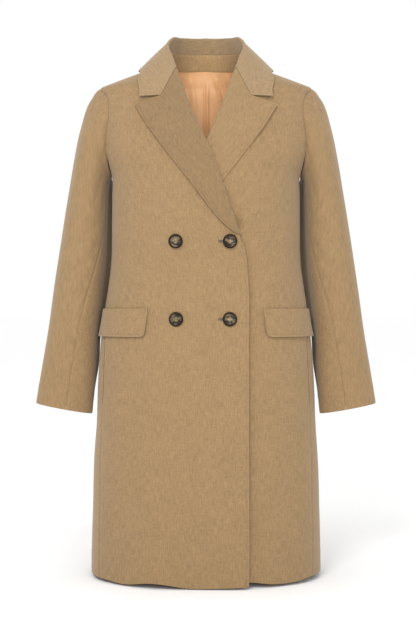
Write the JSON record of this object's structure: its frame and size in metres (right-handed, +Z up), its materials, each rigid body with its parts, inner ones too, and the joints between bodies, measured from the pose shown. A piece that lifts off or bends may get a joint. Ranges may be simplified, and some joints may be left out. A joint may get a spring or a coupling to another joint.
{
  "type": "double-breasted overcoat, hollow and filled out as when worn, with no wearer",
  "caption": "Knee-length double-breasted wool overcoat with notched peak lapels, turned collar, flap pockets and set-in sleeves, hollow and open at neck, cuffs and hem.",
  "frame": {"origin": "between the shoulders at the height of the side-neck points, where the wearer's shoulders hold the coat", "axes": "+Z up along the wearer's back, the front faces -Y, +X is the wearer's left"},
  "size_m": [0.649, 0.2946, 1.0413],
  "materials": {
    "camel_wool": "felted camel wool with a short vertical nap, matte",
    "lining_sateen": "smooth peach sateen with a soft sheen",
    "horn_buttons": "mottled dark horn, satin"
  },
  "bodies": {
    "root": {"back_left": "camel_wool", "back_right": "camel_wool", "button_lower_inner": "horn_buttons", "button_lower_outer": "horn_buttons", "button_upper_inner": "horn_buttons", "button_upper_outer": "horn_buttons", "collar": "camel_wool", "facing_back_neck": "camel_wool", "flap_left": "camel_wool", "flap_right": "camel_wool", "front_left": "camel_wool", "front_right": "camel_wool", "lapel_left": "camel_wool", "lapel_right": "camel_wool", "lining_back": "lining_sateen", "sleeve_top_left": "camel_wool", "sleeve_top_right": "camel_wool", "sleeve_under_left": "camel_wool", "sleeve_under_right": "camel_wool"}
  },
  "joints": []
}
